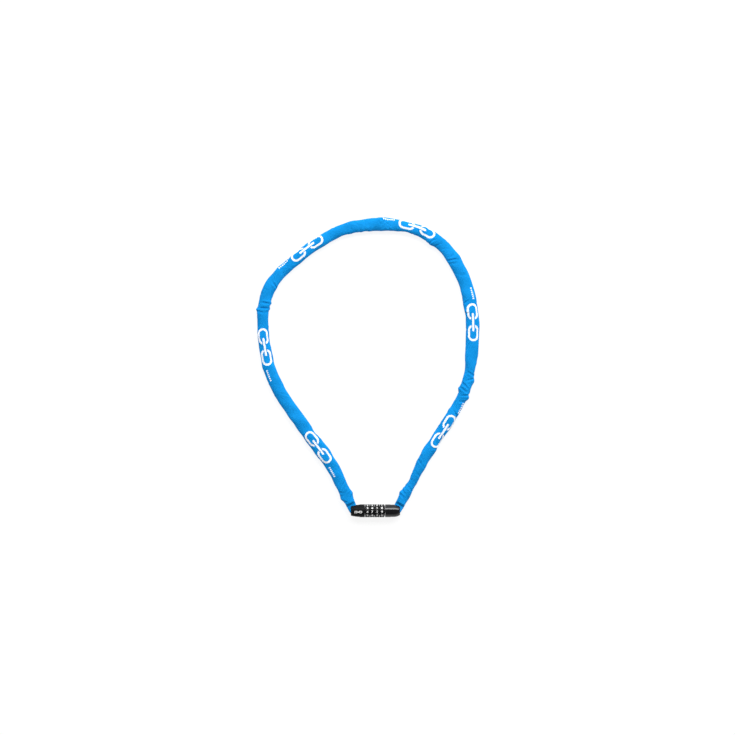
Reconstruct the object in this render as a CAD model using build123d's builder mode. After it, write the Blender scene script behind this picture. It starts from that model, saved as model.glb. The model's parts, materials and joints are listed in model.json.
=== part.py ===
"""Four-dial chain lock: a barrel with a pull-out bolt, and a steel chain in a woven sleeve.

Millimetres. The lock lies flat. +X runs along the barrel, from its fixed end to its bolt end,
+Y runs from the barrel into the loop of chain, and +Z is up. The origin is on the ground, under
the middle of the barrel.
"""
import os
from math import cos, radians, sin, tan

from build123d import *

os.makedirs("parts", exist_ok=True)

# Barrel
AXIS_HEIGHT = 10.3
BODY_RADIUS = 10.3
BODY_END = 39.3          # half the length of the closed lock
BARREL_TAPER_START = -23.0
BARREL_END_RADIUS = 8.4
BARREL_RIM_FILLET = 0.7
BOLT_TAPER_START = 29.0
BOLT_END_RADIUS = 7.5
BOLT_RIM_FILLET = 0.35
BOLT_FACE_WALL = 1.6
BARREL_INSERT_RADIUS = 7.4
BOLT_INSERT_RADIUS = 6.9
INSERT_END = 38.5
DIALS_START = -16.6
DIALS_TO_SHELL = 0.4
DIAL_PITCH = 7.7
DIAL_COUNT = 4
DIALS_END = DIALS_START + DIAL_COUNT * DIAL_PITCH
THROUGH = 3 * BODY_RADIUS    # long enough for any cut right across the lock

# Dials
DIAL_WIDTH = 7.3
DIAL_RADIUS = 10.3
DIGITS = 10
DIGIT_STEP = 360 / DIGITS
FIRST_LOBE_ANGLE = 96    # from +Y towards +Z, so one row of digits lies just off the top
SCALLOP_RADIUS = 1.6
SCALLOP_CENTRE = 11.3
DIAL_BORE = 7.5
DIAL_CHAMFER = 0.3
CODE_RING_WIDTH = 3.3
CODE_RING_SET_BACK = 0.35
SPACER_THICKNESS = 0.5
SPACER_RADIUS = 7.2
RADIUS_MARGIN = 0.1      # for telling edges apart by their radius

# Core tube, bolt and the gates that the bolt's teeth pass through
CORE_RADIUS = 5.0
CORE_BORE = 3.15
CORE_NECK = 4.4
CORE_START = -22.8
RUNNING_CLEARANCE = 0.05
GATE_WIDTH = 2.6
GATE_TOP = 6.6
BOLT_RADIUS = 3.1
BOLT_TIP = -15.0
TOOTH_WIDTH = 2.2
TOOTH_TOP = 6.4
TOOTH_LENGTH = 3.0
TOOTH_SET_BACK = 4.0
BOLT_TIP_CHAMFER = 0.6
BOLT_SHANK_END = 23.0
CROSS_PIN_RADIUS = 1.0
CROSS_PIN_LENGTH = 13.0
BARREL_CROSS_PIN_X = -20.0
BOLT_CROSS_PIN_X = 20.5
PIN_CHAMFER = 0.2
END_PLATE_RADIUS = 9.2
END_PLATE_THICKNESS = 0.8
FACE_GAP = 0.3           # on both sides of the end plate
END_PLATE_START = DIALS_END + FACE_GAP
END_PLATE_END = END_PLATE_START + END_PLATE_THICKNESS
BOLT_FACE = END_PLATE_END + FACE_GAP
BARREL_INSERT_START = DIALS_START - DIALS_TO_SHELL
BOLT_INSERT_START = BOLT_FACE + BOLT_FACE_WALL

# Detent springs, one under each code ring
SPRING_THICKNESS = 0.2
SPRING_WIDTH = 2.4
SPRING_HALF_SPAN = 1.5
SPRING_FOOT = 4.12
SPRING_PEAK = 5.35
NOTCH_RADIUS = 1.6
NOTCH_CENTRE = 4.0
FIRST_NOTCH_ANGLE = 90
POCKET_SPARE_LENGTH = 0.4    # the springs' pockets in the core tube are this much larger
POCKET_SPARE_WIDTH = 0.7
POCKET_SPARE_DEPTH = 0.5

# Clevis slots at both ends, and the pins that hold the chain
SLOT_HEIGHT = 7.6
LEFT_SLOT_END = -25.4
RIGHT_SLOT_END = 24.0
LINK_PIN_RADIUS = 2.0
BARREL_LINK_PIN_LENGTH = 14.0
BOLT_LINK_PIN_LENGTH = 13.0

# Chain
WIRE = 3.5
LINK_INNER_WIDTH = 4.5
LINK_PITCH = 17.85
JOINT_SLACK = 0.4
LINK_TILT = 45
END_TILTS = (0, 73, -30)   # the first links lie flat in the slot, then lean more and more

# Woven sleeve
SLEEVE_WIDTH = 20.0
SLEEVE_HEIGHT = 13.0
SLEEVE_WALL = 0.8
SLEEVE_LEVEL = SLEEVE_HEIGHT / 2 + 0.1
TAB_WIDTH = 14.0         # the sleeve's flattened ends, inside the clevis slots
TAB_HEIGHT = 5.2
TAB_WALL = 0.6
TAB_BEHIND_PIN = 6.0
TAB_AHEAD_OF_PIN = 10.5
FLARE_END = 15.0
PIN_HOLE_SPARE = 2.0     # the cut for the pin passes this much beyond the tab's height
OPEN_GAP = 0.6           # between the sleeve's two halves, where the loop is opened
RUN_SHARE = 0.45         # how much of its shorter run each bend of the route takes

# The chain's route from the fixed pin round to the bolt's pin
ROUTE = [
    (-34.5, 0, AXIS_HEIGHT),
    (-52, 36, SLEEVE_LEVEL),
    (-68, 72, SLEEVE_LEVEL),
    (-115, 133, SLEEVE_LEVEL),
    (-165.5, 208, SLEEVE_LEVEL),
    (-178, 262, SLEEVE_LEVEL),
    (-182, 317, SLEEVE_LEVEL),
    (-170, 362, SLEEVE_LEVEL),
    (-135, 397, SLEEVE_LEVEL),
    (-80, 438, SLEEVE_LEVEL),
    (-36, 456, SLEEVE_LEVEL),
    (15, 459.5, SLEEVE_LEVEL),
    (64, 453, SLEEVE_LEVEL),
    (111, 426, SLEEVE_LEVEL),
    (143, 372, SLEEVE_LEVEL),
    (155.5, 318, SLEEVE_LEVEL),
    (155.5, 264, SLEEVE_LEVEL),
    (150, 212, SLEEVE_LEVEL),
    (134, 169, SLEEVE_LEVEL),
    (101, 121, SLEEVE_LEVEL),
    (69, 68, SLEEVE_LEVEL),
    (50.5, 30, SLEEVE_LEVEL),
    (33.5, 0, AXIS_HEIGHT),
]
LEFT_PIN = ROUTE[0]
RIGHT_PIN = ROUTE[-1]
LAST_FIXED_POINT = 15    # the loop is opened on the run from this point to the next
OPEN_DISTANCE = 25       # from that point to the opening

lock_axis = Axis((0, 0, AXIS_HEIGHT), (1, 0, 0))


def across(x):
    """The plane square to the lock's axis at x: its own x runs along +Y and its y along +Z."""
    return Plane(origin=(x, 0, AXIS_HEIGHT), x_dir=(0, 1, 0), z_dir=(1, 0, 0))


def along_side():
    """The upright plane through the lock's axis: its own x runs along +X and its y along +Z."""
    return Plane(origin=(0, 0, AXIS_HEIGHT), x_dir=(1, 0, 0), z_dir=(0, -1, 0))


def cut_slot(end, slot_end):
    """Cuts the clevis slot that runs from one end of the closed lock in to slot_end."""
    with Locations((end, 0, AXIS_HEIGHT)):
        Box(2 * abs(end - slot_end), THROUGH, SLOT_HEIGHT, mode=Mode.SUBTRACT)


def cut_pin_hole(place, radius):
    """Cuts an upright hole right through, for a pin."""
    with Locations(place):
        Cylinder(radius, THROUGH, mode=Mode.SUBTRACT)


def cut_gate():
    """Cuts the teeth's gate out of a sketch that lies across the lock."""
    with Locations((0, GATE_TOP / 2)):
        Rectangle(GATE_WIDTH, GATE_TOP, mode=Mode.SUBTRACT)


def save(piece, name):
    piece.part.label = name
    export_step(piece.part, f"parts/{name}.step")


# ---------------------------------------------------------------- plastic shells
with BuildPart() as barrel_shell:
    with BuildSketch(along_side()):
        with BuildLine():
            Polyline(
                (-BODY_END, BARREL_INSERT_RADIUS),
                (BARREL_INSERT_START, BARREL_INSERT_RADIUS),
                (BARREL_INSERT_START, BODY_RADIUS),
                (BARREL_TAPER_START, BODY_RADIUS),
            )
            TangentArc(
                (BARREL_TAPER_START, BODY_RADIUS), (-BODY_END, BARREL_END_RADIUS), tangent=(-1, 0)
            )
            Line((-BODY_END, BARREL_END_RADIUS), (-BODY_END, BARREL_INSERT_RADIUS))
        make_face()
    revolve(axis=lock_axis)
    end_rims = barrel_shell.edges().filter_by(GeomType.CIRCLE).group_by(Axis.X)[0]
    fillet(end_rims.sort_by(SortBy.RADIUS)[-1], BARREL_RIM_FILLET)
    cut_slot(-BODY_END, LEFT_SLOT_END)
save(barrel_shell, "barrel_shell")

with BuildPart() as bolt_head_shell:
    with BuildSketch(along_side()):
        with BuildLine():
            Polyline(
                (BODY_END, BOLT_INSERT_RADIUS),
                (BOLT_INSERT_START, BOLT_INSERT_RADIUS),
                (BOLT_INSERT_START, BOLT_RADIUS),
                (BOLT_FACE, BOLT_RADIUS),
                (BOLT_FACE, BODY_RADIUS),
                (BOLT_TAPER_START, BODY_RADIUS),
            )
            TangentArc((BOLT_TAPER_START, BODY_RADIUS), (BODY_END, BOLT_END_RADIUS), tangent=(1, 0))
            Line((BODY_END, BOLT_END_RADIUS), (BODY_END, BOLT_INSERT_RADIUS))
        make_face()
    revolve(axis=lock_axis)
    end_rims = bolt_head_shell.edges().filter_by(GeomType.CIRCLE).group_by(Axis.X)[-1]
    fillet(end_rims.sort_by(SortBy.RADIUS)[-1], BOLT_RIM_FILLET)
    cut_slot(BODY_END, RIGHT_SLOT_END)
save(bolt_head_shell, "bolt_head_shell")

# ---------------------------------------------------------------- metal inserts with clevis slots
with BuildPart() as barrel_anchor:
    with BuildSketch(across(-INSERT_END)):
        Circle(BARREL_INSERT_RADIUS)
    extrude(amount=INSERT_END + BARREL_INSERT_START)
    with BuildSketch(across(CORE_START)):
        Circle(CORE_RADIUS)
    extrude(amount=BARREL_INSERT_START - CORE_START, mode=Mode.SUBTRACT)
    cut_slot(-BODY_END, LEFT_SLOT_END)
    cut_pin_hole(LEFT_PIN, LINK_PIN_RADIUS)
    cut_pin_hole((BARREL_CROSS_PIN_X, 0, AXIS_HEIGHT), CROSS_PIN_RADIUS)
save(barrel_anchor, "barrel_anchor")

with BuildPart() as bolt_anchor:
    with BuildSketch(across(BOLT_INSERT_START)):
        Circle(BOLT_INSERT_RADIUS)
    extrude(amount=INSERT_END - BOLT_INSERT_START)
    with BuildSketch(across(BOLT_INSERT_START)):
        Circle(BOLT_RADIUS)
    extrude(amount=BOLT_SHANK_END - BOLT_INSERT_START, mode=Mode.SUBTRACT)
    cut_slot(BODY_END, RIGHT_SLOT_END)
    cut_pin_hole(RIGHT_PIN, LINK_PIN_RADIUS)
    cut_pin_hole((BOLT_CROSS_PIN_X, 0, AXIS_HEIGHT), CROSS_PIN_RADIUS)
save(bolt_anchor, "bolt_anchor")

# ---------------------------------------------------------------- pins
for name, place, radius, length in [
    ("barrel_link_pin", LEFT_PIN, LINK_PIN_RADIUS, BARREL_LINK_PIN_LENGTH),
    ("bolt_link_pin", RIGHT_PIN, LINK_PIN_RADIUS, BOLT_LINK_PIN_LENGTH),
    ("barrel_cross_pin", (BARREL_CROSS_PIN_X, 0, AXIS_HEIGHT), CROSS_PIN_RADIUS, CROSS_PIN_LENGTH),
    ("bolt_cross_pin", (BOLT_CROSS_PIN_X, 0, AXIS_HEIGHT), CROSS_PIN_RADIUS, CROSS_PIN_LENGTH),
]:
    with BuildPart() as pin:
        with Locations(place):
            Cylinder(radius, length)
        chamfer(pin.edges().filter_by(GeomType.CIRCLE), PIN_CHAMFER)
    save(pin, name)

# ---------------------------------------------------------------- core tube that the bolt slides in
with BuildPart() as core_tube:
    with BuildSketch(across(CORE_START)):
        Circle(CORE_RADIUS)
    extrude(amount=END_PLATE_START - CORE_START)
    with BuildSketch(across(END_PLATE_START)):
        Circle(CORE_NECK)
    extrude(amount=END_PLATE_THICKNESS)
    with BuildSketch(across(CORE_START)):
        Circle(CORE_BORE)
    extrude(amount=END_PLATE_END - CORE_START, mode=Mode.SUBTRACT)
    with BuildSketch(across(BOLT_TIP)):
        with Locations((0, GATE_TOP / 2)):
            Rectangle(GATE_WIDTH, GATE_TOP)
    extrude(amount=END_PLATE_END - BOLT_TIP, mode=Mode.SUBTRACT)
    cut_pin_hole((BARREL_CROSS_PIN_X, 0, AXIS_HEIGHT), CROSS_PIN_RADIUS)
    for index in range(DIAL_COUNT):
        ring_middle = DIALS_START + index * DIAL_PITCH + CODE_RING_SET_BACK + CODE_RING_WIDTH / 2
        with Locations((ring_middle, 0, AXIS_HEIGHT - NOTCH_CENTRE)):
            Box(
                SPRING_WIDTH + POCKET_SPARE_LENGTH,
                2 * SPRING_HALF_SPAN + POCKET_SPARE_WIDTH,
                CORE_RADIUS - NOTCH_CENTRE + POCKET_SPARE_DEPTH,
                align=(Align.CENTER, Align.CENTER, Align.MAX),
                mode=Mode.SUBTRACT,
            )
save(core_tube, "core_tube")

with BuildPart() as end_plate:
    with BuildSketch(across(END_PLATE_START)):
        Circle(END_PLATE_RADIUS)
        Circle(CORE_NECK, mode=Mode.SUBTRACT)
        cut_gate()
    extrude(amount=END_PLATE_THICKNESS)
save(end_plate, "end_plate")

with BuildPart() as dial_spacers:
    for index in range(DIAL_COUNT + 1):
        with BuildSketch(across(DIALS_START + index * DIAL_PITCH - SPACER_THICKNESS / 2)):
            Circle(SPACER_RADIUS)
            Circle(CORE_RADIUS + RUNNING_CLEARANCE, mode=Mode.SUBTRACT)
            cut_gate()
        extrude(amount=SPACER_THICKNESS)
save(dial_spacers, "dial_spacers")

# ---------------------------------------------------------------- four dials, rings and springs
for index in range(DIAL_COUNT):
    dial_start = DIALS_START + index * DIAL_PITCH + (DIAL_PITCH - DIAL_WIDTH) / 2
    ring_start = DIALS_START + index * DIAL_PITCH + CODE_RING_SET_BACK

    with BuildPart() as dial:
        with BuildSketch(across(dial_start)):
            Circle(DIAL_RADIUS)
            with PolarLocations(SCALLOP_CENTRE, DIGITS, start_angle=FIRST_LOBE_ANGLE + DIGIT_STEP / 2):
                Circle(SCALLOP_RADIUS, mode=Mode.SUBTRACT)
            Circle(DIAL_BORE, mode=Mode.SUBTRACT)
        extrude(amount=DIAL_WIDTH)
        curved_edges = dial.edges().filter_by(GeomType.LINE, reverse=True)
        outer_rims = curved_edges.filter_by(
            lambda edge: edge.radius > DIAL_BORE + RADIUS_MARGIN
            or edge.radius < SCALLOP_RADIUS + RADIUS_MARGIN
        )
        chamfer(outer_rims, DIAL_CHAMFER)
    save(dial, f"dial_{index + 1}")

    with BuildPart() as code_ring:
        with BuildSketch(across(ring_start)):
            Circle(DIAL_BORE)
            Circle(CORE_RADIUS + RUNNING_CLEARANCE, mode=Mode.SUBTRACT)
            with PolarLocations(NOTCH_CENTRE, DIGITS, start_angle=FIRST_NOTCH_ANGLE):
                Circle(NOTCH_RADIUS, mode=Mode.SUBTRACT)
            cut_gate()
        extrude(amount=CODE_RING_WIDTH)
    save(code_ring, f"code_ring_{index + 1}")

    with BuildPart() as detent_spring:
        with BuildSketch(across(ring_start + (CODE_RING_WIDTH - SPRING_WIDTH) / 2)):
            with BuildLine():
                ThreePointArc(
                    (-SPRING_HALF_SPAN, -SPRING_FOOT), (0, -SPRING_PEAK), (SPRING_HALF_SPAN, -SPRING_FOOT)
                )
                offset(amount=SPRING_THICKNESS / 2)
            make_face()
        extrude(amount=SPRING_WIDTH)
    save(detent_spring, f"detent_spring_{index + 1}")

# ---------------------------------------------------------------- bolt with one tooth for each dial
with BuildPart() as bolt_shaft:
    with BuildSketch(across(BOLT_TIP)):
        Circle(BOLT_RADIUS)
    extrude(amount=BOLT_SHANK_END - BOLT_TIP)
    chamfer(bolt_shaft.edges().filter_by(GeomType.CIRCLE).sort_by(Axis.X)[0], BOLT_TIP_CHAMFER)
    for index in range(DIAL_COUNT):
        with BuildSketch(across(DIALS_START + index * DIAL_PITCH + TOOTH_SET_BACK)):
            with Locations((0, TOOTH_TOP / 2)):
                Rectangle(TOOTH_WIDTH, TOOTH_TOP)
        extrude(amount=TOOTH_LENGTH)
    cut_pin_hole((BOLT_CROSS_PIN_X, 0, AXIS_HEIGHT), CROSS_PIN_RADIUS)
save(bolt_shaft, "bolt_shaft")

# ---------------------------------------------------------------- the chain's route
route = [Vector(*point) for point in ROUTE]
opened_run = (route[LAST_FIXED_POINT + 1] - route[LAST_FIXED_POINT]).normalized()
fixed_end = route[LAST_FIXED_POINT] + opened_run * (OPEN_DISTANCE - OPEN_GAP / 2)
bolt_end = route[LAST_FIXED_POINT] + opened_run * (OPEN_DISTANCE + OPEN_GAP / 2)
fixed_route = route[: LAST_FIXED_POINT + 1] + [fixed_end]
bolt_route = list(reversed(route[LAST_FIXED_POINT + 1:])) + [bolt_end]


def bend_radii(points):
    """One radius for each corner, from the shorter of the two full runs beside it."""
    radii = []
    for corner in points[1:-1]:
        place = route.index(corner)
        run_in = corner - route[place - 1]
        run_out = route[place + 1] - corner
        half_turn = radians(run_in.get_angle(run_out) / 2)
        radii.append(RUN_SHARE * min(run_in.length, run_out.length) / tan(half_turn))
    return radii


for side, points in [("fixed", fixed_route), ("bolt", bolt_route)]:
    print(side, "side radii", [round(radius) for radius in bend_radii(points)])


def run_plane(points, distance):
    """Plane square to the sloping first run, at a distance along it from the pin."""
    ahead = (points[1] - points[0]).normalized()
    return Plane(origin=points[0] + ahead * distance, x_dir=(-ahead.Y, ahead.X, 0), z_dir=ahead)


# ---------------------------------------------------------------- links
with BuildPart() as link:
    crown = (LINK_PITCH + JOINT_SLACK + WIRE) / 2
    bend = (LINK_INNER_WIDTH + WIRE) / 2
    with BuildLine() as wire_line:
        Line((-crown + bend, bend), (crown - bend, bend))
        ThreePointArc((crown - bend, bend), (crown, 0), (crown - bend, -bend))
        Line((crown - bend, -bend), (-crown + bend, -bend))
        ThreePointArc((-crown + bend, -bend), (-crown, 0), (-crown + bend, bend))
    with BuildSketch(Plane(origin=(-crown + bend, bend, 0), x_dir=(0, 1, 0), z_dir=(1, 0, 0))):
        Circle(WIRE / 2)
    sweep(path=wire_line.wires()[0])


def link_places(points):
    """Where each link lies, from the one round the pin to the last one before the open end."""
    line = FilletPolyline(*points, radius=bend_radii(points)).wire()
    first_joint = -(LINK_PIN_RADIUS + JOINT_SLACK / 2)
    count = int((line.length - WIRE - JOINT_SLACK - first_joint) / LINK_PITCH)
    joints = [run_plane(points, first_joint).origin]
    for number in range(1, count + 1):
        distance = first_joint + number * LINK_PITCH
        joints.append(line.position_at(distance, position_mode=PositionMode.LENGTH))
    print(count, "links on a line", round(line.length, 1), "long")
    places = []
    for number, (start, end) in enumerate(zip(joints, joints[1:])):
        ahead = (end - start).normalized()
        side = Vector(-ahead.Y, ahead.X, 0).normalized()
        up = ahead.cross(side)
        lean = END_TILTS[number] if number < len(END_TILTS) else -LINK_TILT * (-1) ** number
        tilt = radians(lean)
        plane = Plane(origin=(start + end) * 0.5, x_dir=ahead, z_dir=up * cos(tilt) + side * sin(tilt))
        places.append(plane.location)
    return places


# ---------------------------------------------------------------- chain and sleeve, one set a side
for side, points in [("barrel", fixed_route), ("bolt", bolt_route)]:
    places = link_places(points)

    with BuildPart() as end_link:
        with Locations(places[0]):
            add(link.part)
    save(end_link, f"end_link_{side}_side")

    with BuildPart() as chain:
        with Locations(*places[1:]):
            add(link.part)
    save(chain, f"chain_{side}_side")

    tube_plane = run_plane(points, FLARE_END)
    tube_line = FilletPolyline(tube_plane.origin, *points[1:], radius=bend_radii(points))
    with BuildPart() as sleeve:
        for tab_trim, tube_trim, mode in [
            (0, 0, Mode.ADD),
            (2 * TAB_WALL, 2 * SLEEVE_WALL, Mode.SUBTRACT),
        ]:
            with BuildSketch(run_plane(points, -TAB_BEHIND_PIN)):
                SlotOverall(TAB_WIDTH - tab_trim, TAB_HEIGHT - tab_trim)
            extrude(amount=TAB_BEHIND_PIN + TAB_AHEAD_OF_PIN, mode=mode)
            with BuildSketch(run_plane(points, TAB_AHEAD_OF_PIN)):
                SlotOverall(TAB_WIDTH - tab_trim, TAB_HEIGHT - tab_trim)
            with BuildSketch(tube_plane):
                SlotOverall(SLEEVE_WIDTH - tube_trim, SLEEVE_HEIGHT - tube_trim)
            loft(mode=mode)
            with BuildSketch(tube_plane):
                SlotOverall(SLEEVE_WIDTH - tube_trim, SLEEVE_HEIGHT - tube_trim)
            sweep(path=tube_line, mode=mode)
        with Locations(points[0]):
            Cylinder(LINK_PIN_RADIUS, TAB_HEIGHT + PIN_HOLE_SPARE, mode=Mode.SUBTRACT)
    save(sleeve, f"sleeve_{side}_side")
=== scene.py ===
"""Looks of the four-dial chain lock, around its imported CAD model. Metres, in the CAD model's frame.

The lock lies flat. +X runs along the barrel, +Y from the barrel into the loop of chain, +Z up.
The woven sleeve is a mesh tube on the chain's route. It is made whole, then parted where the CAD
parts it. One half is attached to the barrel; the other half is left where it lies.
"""
import json
import math
import random

import bmesh
import bpy
import numpy as np
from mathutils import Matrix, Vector
from mathutils.bvhtree import BVHTree


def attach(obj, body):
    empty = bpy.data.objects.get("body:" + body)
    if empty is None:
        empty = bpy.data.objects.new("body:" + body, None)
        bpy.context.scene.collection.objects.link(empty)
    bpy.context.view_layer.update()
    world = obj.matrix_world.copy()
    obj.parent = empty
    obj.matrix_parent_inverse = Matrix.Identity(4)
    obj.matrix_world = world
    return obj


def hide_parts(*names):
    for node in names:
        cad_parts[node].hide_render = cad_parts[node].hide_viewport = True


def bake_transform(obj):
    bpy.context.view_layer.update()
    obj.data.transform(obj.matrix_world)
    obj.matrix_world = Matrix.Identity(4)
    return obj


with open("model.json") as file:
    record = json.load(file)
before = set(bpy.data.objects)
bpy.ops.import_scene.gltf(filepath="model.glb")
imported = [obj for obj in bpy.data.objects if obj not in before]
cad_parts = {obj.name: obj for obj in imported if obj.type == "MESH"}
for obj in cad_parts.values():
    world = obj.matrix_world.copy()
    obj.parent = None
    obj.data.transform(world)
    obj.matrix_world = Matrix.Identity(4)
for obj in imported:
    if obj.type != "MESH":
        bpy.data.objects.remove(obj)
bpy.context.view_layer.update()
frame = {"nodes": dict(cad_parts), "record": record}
MM = 0.001

# ---------------------------------------------------------------- driving dimensions
AXIS_HEIGHT = 0.0103
DIAL_RADIUS = 0.0103
DIALS = 4
DIAL_PITCH = 0.0077
FIRST_DIAL_X = -0.01275
DIGITS = 10
FIRST_LOBE_DEG = 96              # from +Y towards +Z, the lobe in the reading row
READING = (4, 7, 2, 9)           # the digit that each dial shows there

CAMERA_PLACE = (-0.0127, 0.2291, 3.275)
CAMERA_LENS = 100
CAMERA_SENSOR = 36

# The chain's route, the same points as in part.py
ROUTE = [
    (-0.0345, 0, 0.0103),
    (-0.052, 0.036, 0.0066),
    (-0.068, 0.072, 0.0066),
    (-0.115, 0.133, 0.0066),
    (-0.1655, 0.208, 0.0066),
    (-0.178, 0.262, 0.0066),
    (-0.182, 0.317, 0.0066),
    (-0.170, 0.362, 0.0066),
    (-0.135, 0.397, 0.0066),
    (-0.080, 0.438, 0.0066),
    (-0.036, 0.456, 0.0066),
    (0.015, 0.4595, 0.0066),
    (0.064, 0.453, 0.0066),
    (0.111, 0.426, 0.0066),
    (0.143, 0.372, 0.0066),
    (0.1555, 0.318, 0.0066),
    (0.1555, 0.264, 0.0066),
    (0.150, 0.212, 0.0066),
    (0.134, 0.169, 0.0066),
    (0.101, 0.121, 0.0066),
    (0.069, 0.068, 0.0066),
    (0.0505, 0.030, 0.0066),
    (0.0335, 0, 0.0103),
]
PARTING = (0.1555, 0.293)        # where the CAD parts the sleeve and the chain

# Chain
LINK_PITCH = 0.01785
LINK_SLACK = 0.0004
PIN_RADIUS = 0.002
WIRE = 0.0035
LINK_INNER_WIDTH = 0.0045
LINK_TILT_DEG = 45               # the links lie tilted to one side and the other by turns
END_TILTS_DEG = (0, 73, -30)     # but the first ones at each pin turn from level to that
CROWN_POINTS = 9
WIRE_SIDES = 12

# Sleeve: its width at distances from the fixed pin, in millimetres, as it lies
SLEEVE_WIDTHS = [
    (-6, 10), (0, 14), (12, 15.6), (20, 17), (27, 19.4), (42, 18), (60, 19.6), (85, 21.2), (112, 22.2),
    (145, 20), (168, 21.6), (190, 20.6), (240, 20.4), (275, 20), (297, 18.6), (325, 17.8),
    (350, 18.2), (377, 18.4), (395, 20.2), (430, 18.8), (450, 17), (462, 18), (530, 18.6),
    (543, 17.2), (565, 19), (600, 21), (625, 20.4), (650, 17), (670, 17.6), (685, 19.6),
    (730, 19.4), (758, 22.4), (797, 20.4), (815, 22), (860, 21.4), (905, 20.6), (920, 18),
    (932, 16), (950, 17.4), (985, 16), (1015, 19), (1050, 16.8), (1085, 18.6), (1105, 16.4),
    (1132, 12.8), (1150, 16), (1172, 15.6), (1185, 14), (1191, 10),
]
# Puckers on one edge: distance, side (+1 outside the loop), height and half length, in millimetres
PUCKERS = [
    (25, 1, 1.4, 3.5), (28, -1, 1.2, 4), (150, -1, 0.7, 6), (224, 1, 0.6, 7), (299, -1, 0.7, 5),
    (360, 1, 2.2, 3.2), (364, -1, 2.0, 2.6), (373, -1, 1.8, 2.8), (402, -1, 0.8, 5),
    (447, 1, 0.7, 4), (560, -1, 0.8, 4), (578, -1, 0.8, 4), (592, -1, 0.9, 4), (612, -1, 0.7, 5),
    (702, -1, 2.6, 7), (748, 1, 0.8, 8), (836, -1, 0.6, 6), (918, 1, 0.8, 4), (946, 1, 2.0, 5),
    (963, -1, 2.4, 4.5), (973, 1, 2.2, 4), (1003, -1, 1.0, 4), (1072, 1, 0.8, 6),
    (1100, -1, 0.6, 5), (1156, -1, 1.8, 3.6),
]
# Where the tube lies off the route, in millimetres towards the outside of the loop
WANDER = [(0, 0), (1110, 0), (1132, 1.6), (1150, 0), (1185, 0)]
# Folds across the top: distance, slant, depth, middle across (outside +), half span, in millimetres
FOLDS = [
    (19, 0.6, 0.9, 7, 4), (29, -0.5, 1.2, -8, 4), (35, 0.3, 0.8, 7, 4), (47, -0.7, 0.8, -5, 5),
    (357, 0.1, 0.9, 6, 6), (363.5, -0.08, 1.5, -3, 9), (372, -0.08, 1.3, -3, 8),
    (405, 0.5, 1.3, -6, 6), (561, 0.4, 0.7, -8, 4), (577, 0.2, 0.7, -8, 4), (592, 0.3, 0.7, -8, 4),
    (612, -0.3, 0.8, 7, 4), (700, 0.5, 1.2, -6, 7), (712, 0.4, 0.7, -5, 6), (746, 0.4, 1.5, -3, 7),
    (819, -0.4, 0.9, -6, 5), (838, 0.2, 0.7, -7, 5), (936, 0.4, 1.1, 4, 7), (944, -0.5, 0.9, 5, 6),
    (955, 0.6, 1.3, -3, 8), (962, 0.3, 1.2, -5, 7), (970, -0.4, 1.2, 5, 7), (981, -0.3, 1.0, 5, 6),
    (1004, 0.6, 1.2, 5, 6), (1068, -0.4, 0.7, 6, 5), (1098, 0.4, 0.8, -5, 5), (1144, 0.4, 0.8, 2, 6),
    (1153, 0.5, 1.0, -5, 6), (1160, 0.3, 0.8, -4, 6),
]
FOLD_WIDTH = 0.0013
SWELL_SHARE = 0.55               # height of the swell beside a fold, of the fold's depth
SWELL_OFFSET = 2.3               # its place and its width, of the fold's width
SWELL_WIDTH = 1.3
FINE_FOLDS = 150                 # shallow creases, spread along the sleeve at random
FINE_FOLDS_START = 0.02
FINE_SLANT = 1.6
FINE_ACROSS = 0.013
FINE_HALF_SPANS = (0.003, 0.008)
FINE_DEPTHS = (0.00012, 0.00042)
FINE_WIDTHS = (0.0011, 0.0022)
SOFT_WAVES = 26                  # long shallow waves over the whole cloth
WAVE_HEIGHT = 0.00009
WAVE_LENGTHS = (0.018, 0.09)
WAVE_TURNS = (0, 1, 1, 2, 2, 3)  # how often a wave goes round the tube, some more often drawn
CREASE_SEED = 11
RELIEF_START = 0.011             # the cloth is plain as far as this from each pin
RELIEF_RAMP = 0.006
TABLE_ROUNDING = 0.003           # how far the tables' corners are rounded along the sleeve
AHEAD_REACH = 0.0015             # half the stretch that gives the route's direction
RUN_ON = 0.03                    # how far the route runs on past each pin
SLEEVE_HEIGHT = 0.0132
SLEEVE_FLOOR = 0.0002
TAB_HEIGHT = 0.0050
TAB_BEHIND_PIN = 0.0058
TAB_AHEAD = 0.0102               # the flattened end goes this far past the pin
FLARE_END = 0.0142
SINK_START = 0.030               # the tube keeps to the chain's own height as far as this
SINK_LENGTH = 0.030
HEM_THICKNESS = 0.0007
HEM_RINGS = ((0.005, 1), (0.0012, 1), (0.0003, 0.4))    # depth inside, share of the thickness
STATION_STEP = 0.0011
RING_POINTS = 72
RING_ROUNDNESS = 0.86            # 1 is an ellipse, and less is fuller at the corners
LINK_LUMP = 0.00045              # how far the links push the cloth out
CHAIN_ROOM = 0.00625             # the cloth stays this far from the chain's line at the links' corners
CHAIN_ROOM_BETWEEN = 0.0047      # and this far from it between the corners
ROOM_START = 0.0115              # from the pin, where the cloth starts to make room
ROOM_RAMP = 0.0065
TILTED_START = 0.035             # from the pin, where the links start to lie evenly tilted
TILTED_RAMP = 0.015

# Printing on the sleeve, in millimetres: two rings joined by a bar, then a row of dashes
PRINT_PITCH = 184
FIRST_PRINT = 117
RING_OFFSET = 17
RING_STRAIGHT = 4.5
RING_RADIUS = 7.0
STROKE = 3.2
BAR_LENGTH = 29
BAR_GAP = 1.3                    # bare cloth beside the bar where it crosses the rings
LAST_PRINT_END = 1100
DASH_MIDDLE = -45                # along the sleeve, from the middle of the bar
DASH_ROW = 19
DASH_PITCH = 3.2
DASH_LENGTH = 1.9
DASH_WIDTH = 2.6
DASH_ACROSS = 4.5
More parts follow.
